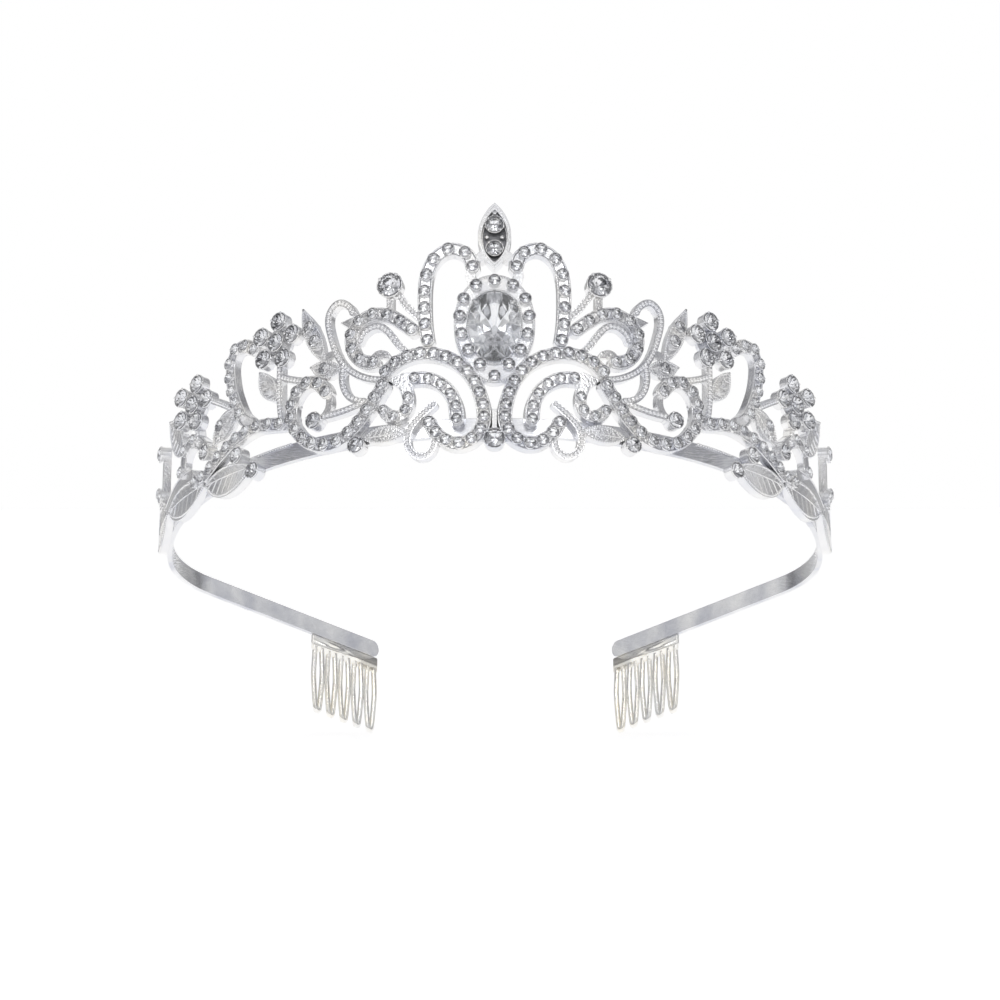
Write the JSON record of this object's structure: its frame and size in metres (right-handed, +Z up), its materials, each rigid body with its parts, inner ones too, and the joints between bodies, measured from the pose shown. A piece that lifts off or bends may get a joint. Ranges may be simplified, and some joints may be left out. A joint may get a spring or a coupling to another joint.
{
  "type": "bridal tiara",
  "caption": "Silver-plated openwork tiara: stone-set scroll castings on a sprung horseshoe headband, with a comb under each band end.",
  "frame": {"origin": "centre of the headband's opening, level with the widest line of the band, at the band's middle height", "axes": "+Z up as worn, -Y towards the front, +X to a viewer's right; the band's plane is tilted 22 degrees about X, front up"},
  "size_m": [0.1382, 0.1211, 0.108],
  "materials": {
    "silver_plating": "bright silver plating, slightly softened",
    "comb_metal": "bright plated strip",
    "rhinestone": "clear faceted glass with a foil back",
    "crystal": "clear faceted glass with a foil back"
  },
  "bodies": {
    "root": {"ball_finial_left": "silver_plating", "ball_finial_right": "silver_plating", "ball_finial_stones": "rhinestone", "beaded_loop_left": "silver_plating", "beaded_loop_right": "silver_plating", "big_scroll_left": "silver_plating", "big_scroll_right": "silver_plating", "big_scroll_stones_left": "rhinestone", "big_scroll_stones_right": "rhinestone", "centre_crystal": "crystal", "centre_cup": "silver_plating", "centre_cup_stone": "rhinestone", "centre_gallery": "silver_plating", "comb_left": "comb_metal", "comb_right": "comb_metal", "end_terminal_left": "silver_plating", "end_terminal_right": "silver_plating", "flower_stem_left": "silver_plating", "flower_stem_right": "silver_plating", "halo_stones": "rhinestone", "headband": "silver_plating", "inner_flower_left": "silver_plating", "inner_flower_right": "silver_plating", "inner_flower_stones_left": "rhinestone", "inner_flower_stones_right": "rhinestone", "inner_scroll_left": "silver_plating", "inner_scroll_right": "silver_plating", "inner_scroll_stones_left": "rhinestone", "inner_scroll_stones_right": "rhinestone", "leaf_stones_left": "rhinestone", "leaf_stones_right": "rhinestone", "lobe_left": "silver_plating", "lobe_right": "silver_plating", "lobe_stones_left": "rhinestone", "lobe_stones_right": "rhinestone", "lower_strand_left": "silver_plating", "lower_strand_right": "silver_plating", "lower_strand_stones_left": "rhinestone", "lower_strand_stones_right": "rhinestone", "navette_bezel": "silver_plating", "navette_stones": "rhinestone", "outer_flower_left": "silver_plating", "outer_flower_right": "silver_plating", "outer_flower_stones_left": "rhinestone", "outer_flower_stones_right": "rhinestone", "side_spray_left": "silver_plating", "side_spray_right": "silver_plating", "side_spray_stones_left": "rhinestone", "side_spray_stones_right": "rhinestone", "side_strand_left": "silver_plating", "side_strand_right": "silver_plating", "side_strand_stones_left": "rhinestone", "side_strand_stones_right": "rhinestone", "teardrop_loop_left": "silver_plating", "teardrop_loop_right": "silver_plating", "upper_scroll_left": "silver_plating", "upper_scroll_right": "silver_plating", "upper_scroll_stones_left": "rhinestone", "upper_scroll_stones_right": "rhinestone"}
  },
  "joints": []
}
